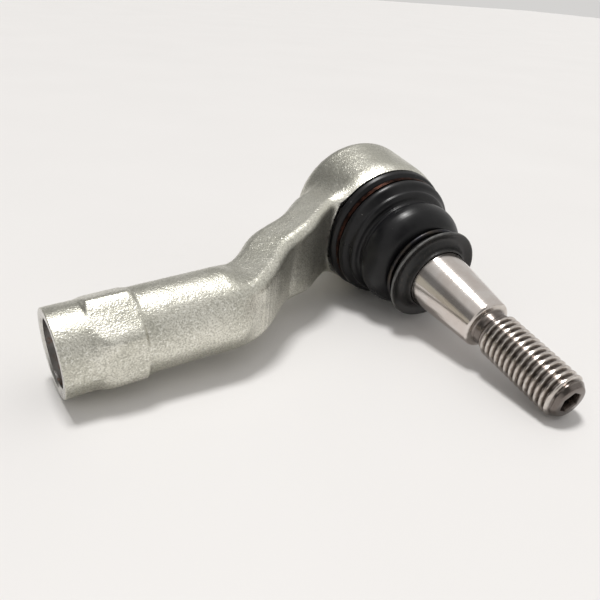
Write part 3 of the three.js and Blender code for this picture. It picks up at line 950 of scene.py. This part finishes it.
def make_lower_boot():
    """The boot's big end with its lip and groove, and the first bellow with its soft second crest."""
    spigot = SPIGOT_R + 0.4
    foot = rounded([(spigot, BOOT_FOOT, 0.3), (22.6, BOOT_FOOT - 0.1, 0.5), (23.15, 4.9, 0.3),
                    (22.75, 6.3, 0.4), (21.6, 7.0, 0.3), (21.15, 7.2, 0.2), (21.15, 9.1, 0.3),
                    (21.6, 9.3, 0)])
    bellow = spline([(21.6, 9.3), (21.9, 10.1), (21.5, 11.3), (20.4, 12.2), (19.7, 13.0), (19.5, 13.8),
                     (18.7, 14.5), (17.5, 14.9), (17.0, 15.4), (17.1, 16.0), (16.7, BOOT_CREASE_AT)])
    inside = spline([(16.0, BOOT_CREASE_AT), (16.15, 15.6), (16.5, 14.4), (18.2, 13.2), (19.0, 11.6),
                     (20.2, 10.6), (20.2, 9.9), (spigot, 9.5), (spigot, 8.0)])
    outline = np.vstack((foot[1:-1], bellow, inside))
    piece = turned("boot_big_end", outline, 144, closed=True, bend=leaning)
    return place(piece, JOINT, [BOOT_RUBBER], sharp_degrees=40)


def make_upper_boot():
    """The second bellow, which starts with a rolled rim over the crease and closes on the collar."""
    outer = spline([(16.5, BOOT_CREASE_AT - 0.1), (17.3, 16.75), (17.95, 17.4), (18.35, 18.7), (18.5, 20.3),
                    (18.2, 22.2), (17.4, 24.0), (16.1, 25.6), (14.5, 26.6), (13.2, 27.0), (12.8, 27.6),
                    (12.7, BOOT_END)])
    inner = spline([(11.7, BOOT_END), (11.7, 26.8), (13.2, 25.6), (15.2, 24.2), (16.6, 22.2), (17.0, 20.2),
                    (16.9, 18.8), (16.6, 18.0), (16.2, 17.3), (15.95, BOOT_CREASE_AT - 0.1)])
    piece = turned("boot_small_end", np.vstack((outer, inner)), 144, closed=True, bend=leaning)
    return place(piece, JOINT, [BOOT_RUBBER], sharp_degrees=40)


def make_boot_ring():
    """Flat spring ring in the boot's groove: turns of fine copper-brown wire side by side."""
    turns = np.linspace(0, RING_TURNS + 0.12, 420)
    angle = 2 * math.pi * turns + 1.9
    height = RING_FROM + turns * 2.02 * RING_WIRE
    path = np.stack((RING_R * np.cos(angle), RING_R * np.sin(angle), height), 1)
    return place(wire("boot_ring_wire", path, RING_WIRE), JOINT, [COPPER_WIRE])


def make_clamp():
    """Round wire ring on the boot's small end, behind the collar."""
    angle = np.linspace(0, 2 * math.pi, 140, endpoint=False)
    path = np.stack((CLAMP_R * np.cos(angle), CLAMP_R * np.sin(angle), np.full(140, CLAMP_AT)), 1)
    return place(wire("boot_clamp_wire", path, CLAMP_WIRE, 14, closed=True), STUD, [SPRING_STEEL])


def make_collar():
    """Dished collar on the taper, with a thin lip that hugs the stud."""
    throat = taper_radius(COLLAR_THROAT_AT) + 0.25
    lip = taper_radius(COLLAR_LIP_AT) + 0.2
    outline = rounded([
        (throat, COLLAR_THROAT_AT, 0.3), (throat + 2.4, COLLAR_THROAT_AT, 1.0),
        (COLLAR_R - 0.5, COLLAR_RIM_AT - 1.15, 0.5), (COLLAR_R, COLLAR_RIM_AT - 0.5, 0.35),
        (COLLAR_R - 0.25, COLLAR_RIM_AT, 0.2), (COLLAR_R - 0.8, COLLAR_RIM_AT - 0.05, 0.3),
        (throat + 1.9, COLLAR_THROAT_AT + 2.2, 1.2), (lip + 0.9, COLLAR_THROAT_AT + 3.8, 0.9),
        (lip + 0.5, COLLAR_LIP_AT, 0.2), (lip, COLLAR_LIP_AT, 0.1)], closed=True)
    return place(turned("stud_collar_moulding", outline, 144, closed=True), STUD, [COLLAR_BLACK])


# ------------------------------------------------------------------ pieces on their bodies

PIECES = [
    (make_forging, "housing", "forged_body", "zinc_forging"),
    (make_cover, "housing", "cover_plate", "zinc_plate"),
    (make_preload_spring, "housing", "preload_spring", "spring_steel"),
    (make_lower_race, "housing", "lower_ball_race", "race_polymer"),
    (make_upper_race, "housing", "upper_ball_race", "race_polymer"),
    (make_boot_ring, "housing", "boot_housing_ring", "spring_steel"),
    (make_stud, "stud", "ball_stud", "bright_steel"),
    (make_collar, "collar", "stud_collar", "black_rubber"),
    (make_clamp, "collar", "boot_stud_clamp", "spring_steel"),
]
for make, body, node, slot in PIECES:
    piece = make()
    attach(piece, body)
    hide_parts(node)

lower_boot = make_lower_boot()
upper_boot = make_upper_boot()
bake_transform(lower_boot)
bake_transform(upper_boot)
for boot_piece in (lower_boot, upper_boot):
    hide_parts("boot")

# ------------------------------------------------------------------ table, light and camera

FLOOR_HALF = 4.0
floor = new_piece("table", [(-FLOOR_HALF, -FLOOR_HALF, 0), (FLOOR_HALF, -FLOOR_HALF, 0),
                            (FLOOR_HALF, FLOOR_HALF, 0), (-FLOOR_HALF, FLOOR_HALF, 0)], [(0, 1, 2, 3)])
floor.data.materials.append(table_top())

CAMERA_AZIMUTH = -28.77
CAMERA_ELEVATION = 26.32
CAMERA_ROLL = 4.66
CAMERA_DISTANCE = 0.23106
CAMERA_LENS = 39.0
CAMERA_AIM = ball_centre + Vector((-0.03177, -0.00334, -ball_centre.z))

LAMP_FROM = (195, 79)             # azimuth and elevation, degrees, counted as the camera's are
LAMP_WIDTH = 13                   # degrees across
LAMP_STRENGTH = 1.95
ROOM_STRENGTH = 0.66
DARK_PATCHES = [                  # (azimuth, elevation), reach in degrees, share of the light taken
    ((-112, 12), 24, 0.72),
    ((-148, 32), 26, 0.86),
    ((177, 44), 15, 0.70),
    ((-15, 34), 22, 0.70),
    ((160, 30), 26, 0.45),
]


def direction(azimuth, elevation):
    """Unit vector from the object towards a viewer or light at this azimuth and elevation."""
    a, e = math.radians(azimuth), math.radians(elevation)
    return Vector((math.sin(a) * math.cos(e), -math.cos(a) * math.cos(e), math.sin(e)))


def add_camera():
    back = direction(CAMERA_AZIMUTH, CAMERA_ELEVATION)
    camera = bpy.data.objects.new("camera", bpy.data.cameras.new("camera"))
    bpy.context.scene.collection.objects.link(camera)
    camera.data.sensor_width = 36
    camera.data.lens = CAMERA_LENS
    camera.data.clip_start = 0.01
    camera.data.clip_end = 20
    camera.location = CAMERA_AIM + back * CAMERA_DISTANCE
    camera.rotation_mode = "QUATERNION"
    level = back.to_track_quat("Z", "Y")
    camera.rotation_quaternion = level @ Quaternion((0, 0, 1), math.radians(CAMERA_ROLL))
    bpy.context.scene.camera = camera


def add_lamp():
    """One broad ceiling lamp, almost overhead."""
    light = bpy.data.lights.new("ceiling_lamp", "SUN")
    light.energy = LAMP_STRENGTH
    light.angle = math.radians(LAMP_WIDTH)
    light.color = (1.0, 0.993, 0.98)
    lamp = bpy.data.objects.new("ceiling_lamp", light)
    bpy.context.scene.collection.objects.link(lamp)
    lamp.rotation_mode = "QUATERNION"
    lamp.rotation_quaternion = direction(*LAMP_FROM).to_track_quat("Z", "Y")


def dark_patch(tree, coordinates, centre, reach, depth):
    """Share of the room's light that a dark patch of wall leaves, in each direction."""
    facing = tree.nodes.new("ShaderNodeVectorMath")
    facing.operation = "DOT_PRODUCT"
    facing.inputs[1].default_value = direction(*centre)
    tree.links.new(coordinates.outputs["Generated"], facing.inputs[0])
    fade = tree.nodes.new("ShaderNodeMapRange")
    fade.interpolation_type = "SMOOTHSTEP"
    fade.inputs["From Min"].default_value = math.cos(math.radians(reach * 1.35))
    fade.inputs["From Max"].default_value = math.cos(math.radians(reach * 0.65))
    fade.inputs["To Min"].default_value = 1
    fade.inputs["To Max"].default_value = 1 - depth
    tree.links.new(facing.outputs["Value"], fade.inputs["Value"])
    return fade.outputs["Result"]


def add_room():
    """A pale room whose walls have a few dark patches for the steel to reflect."""
    world = bpy.data.worlds.new("room")
    world.use_nodes = True
    tree = world.node_tree
    background = tree.nodes["Background"]
    background.inputs["Color"].default_value = (1, 0.985, 0.965, 1)
    coordinates = tree.nodes.new("ShaderNodeTexCoord")
    light_left = None
    for centre, reach, depth in DARK_PATCHES:
        left = dark_patch(tree, coordinates, centre, reach, depth)
        if light_left is None:
            light_left = left
            continue
        both = tree.nodes.new("ShaderNodeMath")
        both.operation = "MULTIPLY"
        tree.links.new(light_left, both.inputs[0])
        tree.links.new(left, both.inputs[1])
        light_left = both.outputs[0]
    strength = tree.nodes.new("ShaderNodeMath")
    strength.operation = "MULTIPLY"
    strength.inputs[1].default_value = ROOM_STRENGTH
    tree.links.new(light_left, strength.inputs[0])
    tree.links.new(strength.outputs[0], background.inputs["Strength"])
    bpy.context.scene.world = world


add_lamp()
add_camera()
add_room()
bpy.context.scene.view_settings.view_transform = "Standard"
